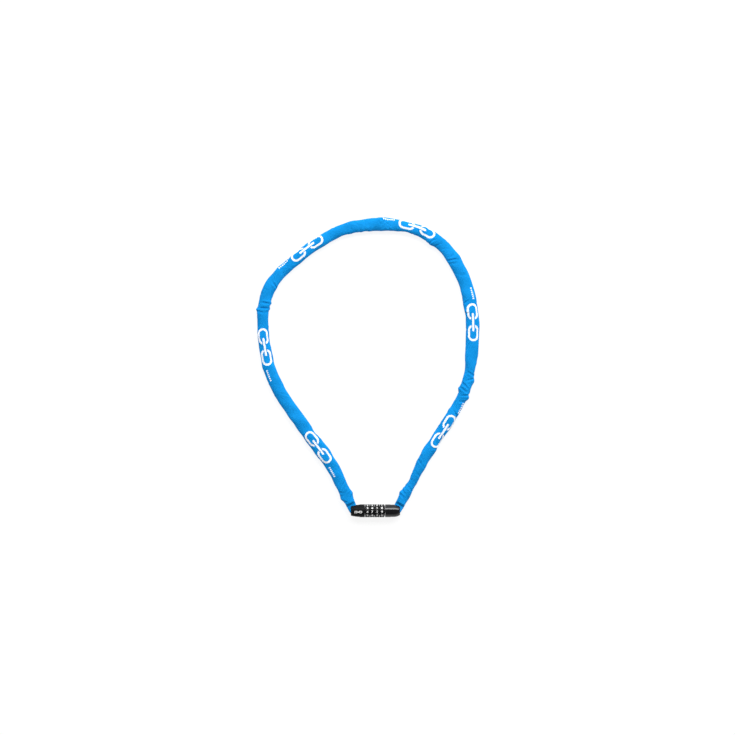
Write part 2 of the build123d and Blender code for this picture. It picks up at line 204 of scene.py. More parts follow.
# How far the printing is rolled round the tube at distances along it
PRINT_ROLL = [(0, 0), (117, 0.5), (303, 0), (485, 3.8), (670, 4.2), (857, 0.8), (1037, 3), (1185, 0)]
STROKE_EDGE = 0.18               # half width of the ink's soft edge
DASH_EDGE = 0.15
WEAVE_PITCH = 0.75

# Digits on the dials
DIGIT_HEIGHT = 0.0037
DIGIT_OF_TYPE_SIZE = 0.7         # a digit's height, of the type's size
DIGIT_WIDTH_SHARE = 1.15
DIGIT_BAND = 0.00005             # how far the paint goes into the lobe, and how far it stands proud
DIGIT_BOLDER = 0.00008           # how far the strokes grow outwards
DIGIT_SHORTEST_EDGE = 0.00002    # shorter edges of the outline are closed up before it grows
DIGIT_CUTS = 9                   # level cuts through a digit, so that it can follow the round lobe
CUT_TOLERANCE = 1e-6             # corners this near a cut are taken to be on it
LEAST_EDGE = 1e-7                # what is shorter after the cuts goes

# Plain mark on the barrel: the rings and bar of the sleeve's printing, made smaller
MARK_MIDDLE_X = -0.0276
MARK_ANGLE_DEG = 98
MARK_SCALE = 0.205
MARK_STROKE = 4.2                # in the printing's millimetres, and bolder than it
MARK_PROUD = 0.00005
BAR_PROUD = 0.00009              # the bar lies over the rings
MARK_RAY_START = 0.03            # rays towards the barrel's axis find the shell from this far out

# Studio
FLOOR_HALF_SIZE = 14.0
FLOOR_GLOW = 0.88
HORIZON_STRENGTH = 1.05
OVERHEAD_STRENGTH = 0.10
HORIZON_END = 0.12               # heights of a direction: 0 is level and 1 is straight up
OVERHEAD_START = 0.62
KEY_PLACE = (0.9, 2.35, 2.5)
KEY_TARGET = (0.9, 0.0, 0)
KEY_SIZE = (5.0, 1.7)
KEY_WATTS = 200


# ---------------------------------------------------------------- camera
def make_camera():
    data = bpy.data.cameras.new("camera")
    data.lens = CAMERA_LENS
    data.sensor_width = CAMERA_SENSOR
    data.clip_end = 20
    camera = bpy.data.objects.new("camera", data)
    camera.location = CAMERA_PLACE
    bpy.context.scene.collection.objects.link(camera)
    bpy.context.scene.camera = camera


make_camera()


# ---------------------------------------------------------------- small helpers
def make_object(name, points, faces, smooth=True):
    mesh = bpy.data.meshes.new(name)
    mesh.from_pydata([tuple(p) for p in points], [], [tuple(f) for f in faces])
    mesh.polygons.foreach_set("use_smooth", [smooth] * len(mesh.polygons))
    mesh.update()
    piece = bpy.data.objects.new(name, mesh)
    bpy.context.scene.collection.objects.link(piece)
    return piece


def unit(vectors):
    return vectors / np.linalg.norm(vectors, axis=-1, keepdims=True)


def fade(x):
    """0 below 0, 1 above 1, and smooth between."""
    x = np.clip(x, 0, 1)
    return x * x * (3 - 2 * x)


def along_table(table, distances):
    """A table's value at each distance in metres, rounded off at the table's corners."""
    places, values = np.array(table, float).T * MM
    steps = np.linspace(-1, 1, 9) * TABLE_ROUNDING
    return np.mean([np.interp(distances + step, places, values) for step in steps], axis=0)


# ---------------------------------------------------------------- the route
def route_line():
    """Points read from the route's smooth NURBS line."""
    curve = bpy.data.curves.new("route", "CURVE")
    curve.dimensions = "3D"
    curve.resolution_u = 40
    spline = curve.splines.new("NURBS")
    spline.points.add(len(ROUTE) - 1)
    for place, point in zip(ROUTE, spline.points):
        point.co = (*place, 1)
    spline.order_u = 3
    spline.use_endpoint_u = True
    holder = bpy.data.objects.new("route", curve)
    mesh = bpy.data.meshes.new_from_object(holder)
    points = np.array([v.co for v in mesh.vertices])
    bpy.data.objects.remove(holder)
    bpy.data.meshes.remove(mesh)
    return points


class Line:
    """The route, run on straight past both pins, with places asked for by distance from the first."""

    def __init__(self, points):
        first = points[0] + unit(points[0] - points[1]) * RUN_ON
        last = points[-1] + unit(points[-1] - points[-2]) * RUN_ON
        self.points = np.vstack([first, points, last])
        steps = np.linalg.norm(np.diff(self.points, axis=0), axis=1)
        self.distances = np.concatenate([[0], np.cumsum(steps)]) - RUN_ON
        self.length = self.distances[-1] - RUN_ON

    def at(self, distance):
        return np.stack(
            [np.interp(distance, self.distances, self.points[:, k]) for k in range(3)], axis=-1
        )

    def ahead(self, distance):
        return unit(self.at(distance + AHEAD_REACH) - self.at(distance - AHEAD_REACH))

    def from_nearer_pin(self, distance):
        return np.minimum(distance, self.length - distance)


def outward(ahead):
    """The level direction across the route, towards the outside of the loop."""
    side = np.stack([-ahead[..., 1], ahead[..., 0], np.zeros_like(ahead[..., 0])], axis=-1)
    return unit(side)


line = Line(route_line())
parting_distance = float(
    line.distances[np.argmin(np.linalg.norm(line.points[:, :2] - PARTING, axis=1))]
)


# ---------------------------------------------------------------- sleeve
def sleeve_ring_heights(distances):
    """Half height and middle height of the tube at each distance from the fixed pin."""
    from_pin = line.from_nearer_pin(distances)
    full = fade((from_pin - TAB_AHEAD) / (FLARE_END - TAB_AHEAD))
    half = (TAB_HEIGHT + (SLEEVE_HEIGHT - TAB_HEIGHT) * full) / 2
    resting = half + SLEEVE_FLOOR
    route_level = line.at(distances)[:, 2]
    sink = fade((from_pin - SINK_START) / SINK_LENGTH)
    return half, route_level * (1 - sink) + resting * sink


def fold_shape(offset, width):
    """A groove with a soft swell on each side of it."""
    groove = np.exp(-((offset / width) ** 2))
    from_swell = np.abs(offset) - SWELL_OFFSET * width
    swell = np.exp(-((from_swell / (SWELL_WIDTH * width)) ** 2))
    return SWELL_SHARE * swell - groove


def sleeve_relief(distances, across, angle):
    """How far the cloth stands out from the plain tube, over the grid of stations and ring points."""
    along = distances[:, None]
    relief = np.zeros((len(distances), len(angle)))
    for place, slant, depth, middle, span in FOLDS:
        offset = along - (place + slant * (across / MM - middle)) * MM
        window = np.exp(-(((across / MM - middle) / span) ** 4))
        relief += depth * MM * fold_shape(offset, FOLD_WIDTH) * window
    draw = random.Random(CREASE_SEED)
    for _ in range(FINE_FOLDS):
        place = draw.uniform(FINE_FOLDS_START, line.length - FINE_FOLDS_START)
        slant = draw.uniform(-FINE_SLANT, FINE_SLANT)
        middle = draw.uniform(-FINE_ACROSS, FINE_ACROSS)
        span = draw.uniform(*FINE_HALF_SPANS)
        depth = draw.uniform(*FINE_DEPTHS)
        offset = along - (place + slant * (across - middle))
        window = np.exp(-(((across - middle) / span) ** 4))
        relief += depth * fold_shape(offset, draw.uniform(*FINE_WIDTHS)) * window
    for place, side, height, half_length in PUCKERS:
        bump = np.exp(-(((along / MM - place) / half_length) ** 2))
        facing = np.clip(side * np.cos(angle), 0, 1) ** 2
        relief += height * MM * bump * facing
    waves = np.zeros_like(relief)
    for _ in range(SOFT_WAVES):
        wavelength = draw.uniform(*WAVE_LENGTHS)
        turns = draw.choice(WAVE_TURNS)
        phase = draw.uniform(0, math.tau)
        waves += np.sin(math.tau * along / wavelength + turns * angle + phase)
    relief += waves * WAVE_HEIGHT
    relief += LINK_LUMP * np.sin(2 * angle) * np.cos(math.pi * (along + PIN_RADIUS) / LINK_PITCH)
    return relief * fade((line.from_nearer_pin(along) - RELIEF_START) / RELIEF_RAMP)


def sleeve_grid():
    """The whole tube, station by station: distances, points, places round the cloth, and middles."""
    count = round((line.length + 2 * TAB_BEHIND_PIN) / STATION_STEP)
    distances = np.linspace(-TAB_BEHIND_PIN, line.length + TAB_BEHIND_PIN, count)
    nearest = np.argmin(np.abs(distances - parting_distance))
    distances[nearest] = parting_distance
    centre = line.at(distances)
    ahead = line.ahead(distances)
    side = outward(ahead)
    up = np.cross(ahead, side)
    half_height, level = sleeve_ring_heights(distances)
    half_width = along_table(SLEEVE_WIDTHS, distances) / 2
    wander = along_table(WANDER, distances)
    centre = centre + side * wander[:, None]
    centre[:, 2] = level

    angle = math.radians(-90) + math.tau * np.arange(RING_POINTS) / RING_POINTS
    round_x = np.sign(np.cos(angle)) * np.abs(np.cos(angle)) ** RING_ROUNDNESS
    round_z = np.sign(np.sin(angle)) * np.abs(np.sin(angle)) ** RING_ROUNDNESS
    in_x = half_width[:, None] * round_x
    in_z = half_height[:, None] * round_z

    closed_x = np.hstack([in_x, in_x[:, :1]])
    closed_z = np.hstack([in_z, in_z[:, :1]])
    steps = np.hypot(np.diff(closed_x, axis=1), np.diff(closed_z, axis=1))
    around = np.hstack([np.zeros((count, 1)), np.cumsum(steps, axis=1)])
    across = around[:, RING_POINTS // 2][:, None] - around

    relief = sleeve_relief(distances, across[:, :-1], angle)
    lean_x = in_x / half_width[:, None] ** 2
    lean_z = in_z / half_height[:, None] ** 2
    size = np.hypot(lean_x, lean_z)
    in_x = in_x + relief * lean_x / size
    in_z = in_z + relief * lean_z / size
    points = centre[:, None] + in_x[..., None] * side[:, None] + in_z[..., None] * up[:, None]
    resting = (distances > FLARE_END) & (distances < line.length - FLARE_END)
    low = np.where(resting, SLEEVE_FLOOR, 0)[:, None]
    points[..., 2] = np.maximum(points[..., 2], low)
    chain_middle = line.at(distances) + side * wander[:, None]
    points = clear_of_chain(distances, points, chain_middle, side, up)
    return distances, points, across, centre


def clear_of_chain(distances, points, chain_middle, side, up):
    """Moves points out from the chain's line where they would lie inside a link."""
    from_pin = line.from_nearer_pin(distances)[:, None]
    away = points - chain_middle[:, None]
    sideways = (away * side[:, None]).sum(axis=2)
    upward = (away * up[:, None]).sum(axis=2)
    reach = np.linalg.norm(away, axis=2)
    corner = np.abs(2 * sideways * upward) / reach**2
    between = CHAIN_ROOM_BETWEEN + (CHAIN_ROOM - CHAIN_ROOM_BETWEEN) * corner
    tilted = fade((from_pin - TILTED_START) / TILTED_RAMP)
    room = CHAIN_ROOM * (1 - tilted) + between * tilted
    room = room * fade((from_pin - ROOM_START) / ROOM_RAMP)
    return chain_middle[:, None] + away * (np.maximum(reach, room) / reach)[..., None]


def parting_normals(points, centre, index):
    """The whole tube's own normals round one station."""
    ahead = points[index + 1] - points[index - 1]
    around = np.roll(points[index], -1, axis=0) - np.roll(points[index], 1, axis=0)
    normals = unit(np.cross(ahead, around))
    facing = ((points[index] - centre[index]) * normals).sum(axis=1)
    return normals * np.sign(facing)[:, None]


def hem_rings(places, rows, middle):
    """The cloth turned in at the pin end, as rings from the deepest out to the rim."""
    rings = []
    for depth, share in HEM_RINGS:
        station = int(np.argmin(np.abs(np.abs(np.array(places) - places[0]) - depth)))
        inwards = middle[station] - rows[station]
        inset = HEM_THICKNESS / np.linalg.norm(inwards, axis=1)[:, None] * share
        rings.append(rows[station] + inwards * inset)
    return rings


def tube_faces(ring_places, ring_spans, pin_first):
    """Faces of a tube of rings, capped at both ends, and each corner's place along and round."""
    count = len(ring_places)
    faces, uvs = [], []
    for i in range(count - 1):
        for j in range(RING_POINTS):
            k = (j + 1) % RING_POINTS
            corners = [(i, j, j), (i, k, j + 1), (i + 1, k, j + 1), (i + 1, j, j)]
            if not pin_first:
                corners.reverse()
            faces.append([r * RING_POINTS + c for r, c, _ in corners])
            uvs.append([(ring_places[r], ring_spans[r][v]) for r, _, v in corners])
    for ring, tip in ((0, count * RING_POINTS), (count - 1, count * RING_POINTS + 1)):
        for j in range(RING_POINTS):
            face = [ring * RING_POINTS + j, ring * RING_POINTS + (j + 1) % RING_POINTS, tip]
            if (ring == 0) == pin_first:
                face.reverse()
            faces.append(face)
            uvs.append([(ring_places[ring], ring_spans[ring][j])] * 3)
    return faces, uvs


def keep_normals(piece, ring, normals):
    """A sharp edge round one ring of vertices, and given normals on the cloth's side of it."""
    for rim in piece.data.edges:
        if rim.vertices[0] in ring and rim.vertices[1] in ring:
            rim.use_edge_sharp = True
    corner_normals = np.zeros((len(piece.data.loops), 3))
    for face in piece.data.polygons:
        if len(face.vertices) == 4:
            for corner in face.loop_indices:
                vertex = piece.data.loops[corner].vertex_index
                if vertex in ring:
                    corner_normals[corner] = normals[vertex - ring[0]]
    piece.data.normals_split_custom_set(corner_normals.tolist())


def sleeve_half(name, distances, points, across, centre, chosen, pin_first):
    """One half of the sleeve as a closed tube: its pin end is hemmed inwards, its other end capped.

    Round the capped end the cloth keeps the whole tube's normals, so the two halves meet unseen.
    """
    rows = [points[i] for i in chosen]
    places = [distances[i] for i in chosen]
    spans = [across[i] for i in chosen]
    middle = [centre[i] for i in chosen]
    if not pin_first:
        for series in (rows, places, spans, middle):
            series.reverse()
    hem = hem_rings(places, rows, middle)
    rings = hem + rows
    tips = [[rings[0].mean(axis=0)], [rings[-1].mean(axis=0)]]
    ring_places = [places[0]] * len(hem) + places
    ring_spans = [spans[0]] * len(hem) + spans
    faces, uvs = tube_faces(ring_places, ring_spans, pin_first)
    piece = make_object(name, np.vstack(rings + tips), faces)
    layer = piece.data.uv_layers.new(name="cloth")
    flat_uvs = [
        value
        for face in uvs
        for place, span in face
        for value in (place, span - np.interp(place / MM, *np.array(PRINT_ROLL).T) * MM)
    ]
    layer.data.foreach_set("uv", np.array(flat_uvs, np.float32))
    last_ring = range((len(rings) - 1) * RING_POINTS, len(rings) * RING_POINTS)
    normals = parting_normals(points, centre, chosen[-1] if pin_first else chosen[0])
    keep_normals(piece, last_ring, normals)
    return piece


distances, sleeve_points, sleeve_across, sleeve_centre = sleeve_grid()
parting_index = int(np.argmin(np.abs(distances - parting_distance)))
sleeve_barrel = sleeve_half(
    "woven_sleeve_barrel_half",
    distances, sleeve_points, sleeve_across, sleeve_centre,
    range(0, parting_index + 1),
    pin_first=True,
)
sleeve_bolt = sleeve_half(
    "woven_sleeve_bolt_half",
    distances, sleeve_points, sleeve_across, sleeve_centre,
    range(parting_index, len(distances)),
    pin_first=False,
)


# ---------------------------------------------------------------- chain inside the sleeve
def link_shape():
    """One link about its own middle, long in x and wide in y: rings of points along a closed wire."""
    crown = (LINK_PITCH + LINK_SLACK + WIRE) / 2
    bend = (LINK_INNER_WIDTH + WIRE) / 2
    straight = crown - bend
    wire = []
    for end in (1, -1):
        for step in range(CROWN_POINTS):
            turn = math.radians(90 - 180 * step / (CROWN_POINTS - 1))
            wire.append((end * (straight + bend * math.cos(turn)), end * bend * math.sin(turn), 0))
    wire = np.array(wire)
    ahead = unit(np.roll(wire, -1, axis=0) - np.roll(wire, 1, axis=0))
    side = np.cross(ahead, (0, 0, 1))
    turns = (math.tau * np.arange(WIRE_SIDES) / WIRE_SIDES)[None, :, None]
    around_wire = np.cos(turns) * side[:, None] + np.sin(turns) * np.array((0, 0, 1))
    rings = wire[:, None] + WIRE / 2 * around_wire
    count, around = rings.shape[:2]
    faces = [
        (
            i * around + j,
            i * around + (j + 1) % around,
            (i + 1) % count * around + (j + 1) % around,
            (i + 1) % count * around + j,
        )
        for i in range(count)
        for j in range(around)
    ]
    return rings.reshape(-1, 3), np.array(faces)


def make_chain(name, from_fixed_pin):
    """The links on one side of the parting, without the one round the pin, which the CAD shows."""
    shape, faces = link_shape()
    reach = parting_distance if from_fixed_pin else line.length - parting_distance
    first_joint = -(PIN_RADIUS + LINK_SLACK / 2)
    count = int((reach - WIRE - LINK_SLACK - first_joint) / LINK_PITCH)
    joints = first_joint + LINK_PITCH * np.arange(count + 1)
    joints = joints if from_fixed_pin else line.length - joints
    joints = line.at(joints) + outward(line.ahead(joints)) * along_table(WANDER, joints)[:, None]
    points, all_faces = [], []
    for number in range(1, count):
        start, end = joints[number], joints[number + 1]
        ahead = unit(end - start)
        side = outward(ahead)
        up = np.cross(ahead, side)
        plain = -LINK_TILT_DEG * (-1) ** number
        tilt = math.radians(END_TILTS_DEG[number] if number < len(END_TILTS_DEG) else plain)
        across = side * math.cos(tilt) - up * math.sin(tilt)
        square = np.cross(ahead, across)
        placed = (start + end) / 2 + shape @ np.array([ahead, across, square])
        all_faces.append(faces + len(shape) * len(points))
        points.append(placed)
    return make_object(name, np.vstack(points), np.vstack(all_faces).tolist())


chain_barrel = make_chain("chain_links_barrel_half", True)
chain_bolt = make_chain("chain_links_bolt_half", False)


# ---------------------------------------------------------------- what the cords ride on
def join_cords():
    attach(sleeve_barrel, "barrel")
    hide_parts("sleeve_barrel_side")
    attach(chain_barrel, "barrel")
    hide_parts("chain_barrel_side")

    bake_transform(sleeve_bolt)
    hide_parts("sleeve_bolt_side")
    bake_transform(chain_bolt)
    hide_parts("chain_bolt_side")


join_cords()


# ---------------------------------------------------------------- shader helpers
def new_material(name):
    material = bpy.data.materials.new(name)
    material.use_nodes = True
    tree = material.node_tree
    return material, tree, tree.nodes["Principled BSDF"]


def wire_up(tree, kind, inputs=(), **settings):
    """A new node with its settings, and inputs that are sockets or plain values."""
    node = tree.nodes.new(kind)
    for key, value in settings.items():
        setattr(node, key, value)
    for key, value in dict(inputs).items():
        if isinstance(value, bpy.types.NodeSocket):
            tree.links.new(value, node.inputs[key])
        else:
            node.inputs[key].default_value = value
    return node


def calc(tree, operation, *values):
    """The output of a math node."""
    node = wire_up(tree, "ShaderNodeMath", dict(enumerate(values)), operation=operation)
    return node.outputs[0]


def diagonal(tree, first, second):
    """The length of a right angle's long side, from the other two."""
    squares = [calc(tree, "MULTIPLY", side, side) for side in (first, second)]
    return calc(tree, "SQRT", calc(tree, "ADD", *squares))


def edge(tree, distance, softness):
    """1 where the distance is below 0, 0 where it is above, with a soft edge."""
    node = wire_up(
        tree,
        "ShaderNodeMapRange",
        {"Value": distance, "From Min": softness, "From Max": -softness},
        clamp=True,
    )
    return node.outputs["Result"]


def object_place(tree):
    return wire_up(tree, "ShaderNodeTexCoord").outputs["Object"]


def noise(tree, place, scale, detail=3.0, roughness=0.55):
    node = wire_up(
        tree,
        "ShaderNodeTexNoise",
        {"Vector": place, "Scale": scale, "Detail": detail, "Roughness": roughness},
    )
    return node.outputs["Fac"]


def between(tree, value, low, high, from_low=0.3, from_high=0.7):
    """A value spread over a new range."""
    node = wire_up(
        tree,
        "ShaderNodeMapRange",
        {
            "Value": value,
            "From Min": from_low,
            "From Max": from_high,
            "To Min": low,
            "To Max": high,
        },
    )
    return node.outputs["Result"]


def mix_colour(tree, share, first, second):
    node = wire_up(tree, "ShaderNodeMix", data_type="RGBA")
    for number, value in ((0, share), (6, first), (7, second)):    # the colour mix's own sockets
        if isinstance(value, bpy.types.NodeSocket):
            tree.links.new(value, node.inputs[number])
        else:
            node.inputs[number].default_value = value
    return node.outputs[2]


def bump(tree, height, distance, strength=1.0, below=None):
    inputs = {"Height": height, "Distance": distance, "Strength": strength}
    if below is not None:
        inputs["Normal"] = below
    return wire_up(tree, "ShaderNodeBump", inputs).outputs["Normal"]


# ---------------------------------------------------------------- materials
def sleeve_material():
    """Blue woven nylon: weave, soft colour changes, and white ink that sits on the threads."""
    material, tree, shader = new_material("woven_nylon")
    cloth = wire_up(tree, "ShaderNodeUVMap", uv_map="cloth").outputs["UV"]
    split = wire_up(tree, "ShaderNodeSeparateXYZ", {"Vector": cloth})
    along = calc(tree, "MULTIPLY", split.outputs["X"], 1 / MM)
    across = calc(tree, "MULTIPLY", split.outputs["Y"], 1 / MM)

    shifted = calc(tree, "ADD", along, PRINT_PITCH * 3 / 2 - FIRST_PRINT)
    local = calc(tree, "SUBTRACT", calc(tree, "MODULO", shifted, PRINT_PITCH), PRINT_PITCH / 2)
    from_middle = calc(tree, "ABSOLUTE", local)
    from_ring = calc(tree, "ABSOLUTE", calc(tree, "SUBTRACT", from_middle, RING_OFFSET))
    past_straight = calc(tree, "MAXIMUM", calc(tree, "SUBTRACT", from_ring, RING_STRAIGHT), 0.0)
    radius = diagonal(tree, past_straight, across)
    off_stroke = calc(tree, "ABSOLUTE", calc(tree, "SUBTRACT", radius, RING_RADIUS))
    rings = edge(tree, calc(tree, "SUBTRACT", off_stroke, STROKE / 2), STROKE_EDGE)
    past_bar = calc(tree, "SUBTRACT", from_middle, (BAR_LENGTH - STROKE) / 2)
    past_bar = calc(tree, "MAXIMUM", past_bar, 0.0)
    bar_distance = calc(tree, "SUBTRACT", diagonal(tree, past_bar, across), STROKE / 2)
    bar = edge(tree, bar_distance, STROKE_EDGE)
    near_bar = edge(tree, calc(tree, "SUBTRACT", bar_distance, BAR_GAP), STROKE_EDGE)
    rings = calc(tree, "MULTIPLY", rings, calc(tree, "SUBTRACT", 1.0, near_bar))

    from_dashes = calc(tree, "SUBTRACT", local, DASH_MIDDLE - DASH_ROW / 2)
    in_row = calc(
        tree,
        "SUBTRACT",
        calc(tree, "ABSOLUTE", calc(tree, "SUBTRACT", from_dashes, DASH_ROW / 2)),
        DASH_ROW / 2,
    )
    in_dash = calc(tree, "SUBTRACT", calc(tree, "MODULO", from_dashes, DASH_PITCH), DASH_LENGTH)
    off_row = calc(tree, "ABSOLUTE", calc(tree, "SUBTRACT", across, DASH_ACROSS))
    in_width = calc(tree, "SUBTRACT", off_row, DASH_WIDTH / 2)
    dash_distance = calc(tree, "MAXIMUM", calc(tree, "MAXIMUM", in_row, in_dash), in_width)
    dashes = edge(tree, dash_distance, DASH_EDGE)
    pattern = calc(tree, "MAXIMUM", calc(tree, "MAXIMUM", rings, bar), dashes)
    printed = calc(tree, "MULTIPLY", pattern, calc(tree, "LESS_THAN", along, LAST_PRINT_END))

    place = object_place(tree)
    warp = calc(tree, "SINE", calc(tree, "MULTIPLY", along, math.tau / WEAVE_PITCH))
    weft = calc(tree, "SINE", calc(tree, "MULTIPLY", across, math.tau / WEAVE_PITCH))
    weave = calc(tree, "MULTIPLY", warp, weft)
    fibres = noise(tree, place, 2600.0, 2.0)

    patches = between(tree, noise(tree, place, 45.0, 4.0), 0.0, 1.0)
    cloth_blue = mix_colour(tree, patches, (0.003, 0.231, 0.605, 1), (0.006, 0.293, 0.752, 1))
    threads = between(tree, weave, 0.0, 0.14, -1.0, 1.0)
    cloth_blue = mix_colour(tree, threads, cloth_blue, (0.002, 0.11, 0.36, 1))
    worn = between(tree, noise(tree, place, 900.0, 2.0), 0.86, 1.0)
    inked = calc(tree, "MULTIPLY", printed, worn)
    colour = mix_colour(tree, inked, cloth_blue, (0.93, 0.95, 0.97, 1))
    tree.links.new(colour, shader.inputs["Base Color"])
    tree.links.new(between(tree, fibres, 0.66, 0.86), shader.inputs["Roughness"])
    shader.inputs["Specular IOR Level"].default_value = 0.05
    shader.inputs["Sheen Weight"].default_value = 0.04
    shader.inputs["Sheen Roughness"].default_value = 0.4
    shader.inputs["Sheen Tint"].default_value = (0.35, 0.65, 1.0, 1)
    fine = bump(tree, fibres, 0.00006, 0.5)
    tree.links.new(bump(tree, weave, 0.00008, 0.5, fine), shader.inputs["Normal"])
    return material


def plastic(name, colour, roughness, gloss, grain):
    """Moulded plastic with a fine spark-eroded grain and faint handling marks."""
    material, tree, shader = new_material(name)
    place = object_place(tree)
    smears = between(tree, noise(tree, place, 120.0, 4.0), 0.0, 1.0)
    lighter = tuple(min(1.0, 1.7 * c + 0.002) for c in colour) + (1,)
    tree.links.new(mix_colour(tree, smears, (*colour, 1), lighter), shader.inputs["Base Color"])
    tree.links.new(
        between(tree, noise(tree, place, 320.0, 5.0), roughness * 0.85, roughness * 1.2),
        shader.inputs["Roughness"],
    )
    shader.inputs["Specular IOR Level"].default_value = gloss
    pits = noise(tree, place, 5200.0, 2.0)
    tree.links.new(bump(tree, pits, 0.00003, grain), shader.inputs["Normal"])
    return material


def metal(name, colour, roughness, drag=(1.0, 1.0, 1.0)):
    """Metal with tool marks: noise drawn out along the axes where drag is small."""
    material, tree, shader = new_material(name)
    place = object_place(tree)
    drawn = wire_up(tree, "ShaderNodeMapping", {"Vector": place, "Scale": drag}).outputs["Vector"]
    marks = noise(tree, drawn, 900.0, 4.0)
    stains = between(tree, noise(tree, place, 160.0, 4.0), 0.0, 1.0)
    darker = tuple(0.72 * c for c in colour) + (1,)
    tree.links.new(mix_colour(tree, stains, (*colour, 1), darker), shader.inputs["Base Color"])
    tree.links.new(between(tree, marks, roughness * 0.7, roughness * 1.3), shader.inputs["Roughness"])
    shader.inputs["Metallic"].default_value = 1.0
    tree.links.new(bump(tree, marks, 0.00002, 0.6), shader.inputs["Normal"])
    return material


def paint(name, colour, roughness):
    """Filled-in paint on the digits and the barrel's mark."""
    material, tree, shader = new_material(name)
    place = object_place(tree)
    thin = between(tree, noise(tree, place, 1500.0, 3.0), 0.0, 1.0)
    greyer = tuple(0.84 * c for c in colour) + (1,)
    tree.links.new(mix_colour(tree, thin, (*colour, 1), greyer), shader.inputs["Base Color"])
    tree.links.new(
        between(tree, noise(tree, place, 2400.0, 2.0), roughness * 0.9, roughness * 1.15),
        shader.inputs["Roughness"],
    )
    return material


woven_nylon = sleeve_material()
satin_black = plastic("satin_black_plastic", (0.003, 0.003, 0.0036), 0.52, 0.10, 0.6)
gloss_black = plastic("gloss_black_plastic", (0.004, 0.004, 0.0045), 0.12, 0.50, 0.10)
dial_black = plastic("dial_black_plastic", (0.003, 0.003, 0.0036), 0.36, 0.15, 0.5)
brass = metal("brass", (0.72, 0.48, 0.17), 0.26, (0.05, 1.0, 1.0))
zinc = metal("cast_zinc", (0.27, 0.275, 0.28), 0.58)
steel = metal("turned_steel", (0.60, 0.60, 0.61), 0.24, (0.05, 1.0, 1.0))
spring_steel = metal("spring_steel", (0.42, 0.42, 0.44), 0.22, (1.0, 0.08, 1.0))
chain_steel = metal("galvanised_steel", (0.56, 0.57, 0.58), 0.34)
white_paint = paint("white_paint", (0.92, 0.92, 0.91), 0.45)

SLOT_MATERIALS = {
    "black_shell": satin_black,
    "black_dial": dial_black,
    "brass": brass,
    "zinc_insert": zinc,
    "steel_parts": steel,
    "spring_steel": spring_steel,
    "chain_steel": chain_steel,
    "blue_sleeve": woven_nylon,
}


def dress(piece, material):
    piece.data.materials.clear()
    piece.data.materials.append(material)


def dress_cad_nodes():
    """Every CAD node gets the material made for its record slot."""
    for entry in frame["record"]["subparts"]:
        for place in frame["nodes"][entry["node"]].material_slots:
            place.material = SLOT_MATERIALS[entry["material_slot"]]
    for place in frame["nodes"]["bolt_head_shell"].material_slots:
        place.material = gloss_black


dress_cad_nodes()
dress(sleeve_barrel, woven_nylon)
dress(sleeve_bolt, woven_nylon)
dress(chain_barrel, chain_steel)
dress(chain_bolt, chain_steel)


# ---------------------------------------------------------------- digits on the dials
def grow_outline(shape, distance):
    """Moves the outline of a flat shape outwards, corners kept sharp, and fills it anew."""
    moves = []
    for vert in shape.verts:
        both = Vector((0, 0, 0))
        for side in vert.link_edges:
            if side.is_boundary:
                loop = side.link_loops[0]
                along = (loop.link_loop_next.vert.co - loop.vert.co).normalized()
                both += Vector((along.y, -along.x, 0))
        if both.length > 0:
            moves.append((vert, both * (2 * distance / both.length_squared)))
    for vert, move in moves:
        vert.co += move
    bmesh.ops.delete(shape, geom=shape.faces[:], context="FACES_KEEP_BOUNDARY")
    bmesh.ops.triangle_fill(shape, edges=shape.edges[:], use_beauty=True, normal=(0, 0, 1))


def digit_outline(digit):
    """One digit of the built-in typeface as a flat filled shape."""
    curve = bpy.data.curves.new("digit", "FONT")
    curve.body = str(digit)
    curve.size = DIGIT_HEIGHT / DIGIT_OF_TYPE_SIZE
    curve.align_x = "CENTER"
    curve.resolution_u = 6
    holder = bpy.data.objects.new("digit", curve)
    mesh = bpy.data.meshes.new_from_object(holder)
    bpy.data.objects.remove(holder)
    shape = bmesh.new()
    shape.from_mesh(mesh)
    bpy.data.meshes.remove(mesh)
    return shape


def digit_shape(digit):
    """Points and faces of one digit, flat: x across, y up, z its small thickness."""
    shape = digit_outline(digit)
    bmesh.ops.remove_doubles(shape, verts=shape.verts, dist=DIGIT_SHORTEST_EDGE)
    grow_outline(shape, DIGIT_BOLDER)
    for vert in shape.verts:
        vert.co.z = -DIGIT_BAND
    extruded = bmesh.ops.extrude_face_region(shape, geom=shape.faces[:])
    for item in extruded["geom"]:
        if isinstance(item, bmesh.types.BMVert):
            item.co.z = DIGIT_BAND
    heights = [v.co.y for v in shape.verts]
    low, high = min(heights), max(heights)
    widths = [v.co.x for v in shape.verts]
    middle = (min(widths) + max(widths)) / 2
    for vert in shape.verts:
        vert.co.y -= (low + high) / 2
        vert.co.x = (vert.co.x - middle) * DIGIT_WIDTH_SHARE
    for number in range(DIGIT_CUTS):
        height = (number - DIGIT_CUTS // 2) * DIGIT_HEIGHT / DIGIT_CUTS
        bmesh.ops.bisect_plane(
            shape,
            geom=shape.verts[:] + shape.edges[:] + shape.faces[:],
            dist=CUT_TOLERANCE,
            plane_co=(0, height, 0),
            plane_no=(0, 1, 0),
        )
    bmesh.ops.dissolve_degenerate(shape, dist=LEAST_EDGE, edges=shape.edges[:])
    bmesh.ops.triangulate(shape, faces=shape.faces[:])
    shape.verts.index_update()
    points = np.array([v.co for v in shape.verts])
    faces = [[v.index for v in face.verts] for face in shape.faces]
    shape.free()
    return points, faces


def on_cylinder(points, x, angle_deg, radius):
    """Wraps flat points round the barrel's axis, their middle at an angle from +Y towards +Z."""
    angle = math.radians(angle_deg) + points[:, 1] / radius
    out = radius + points[:, 2]
    return np.stack(
        [x + points[:, 0], out * np.cos(angle), AXIS_HEIGHT + out * np.sin(angle)], axis=1
    )


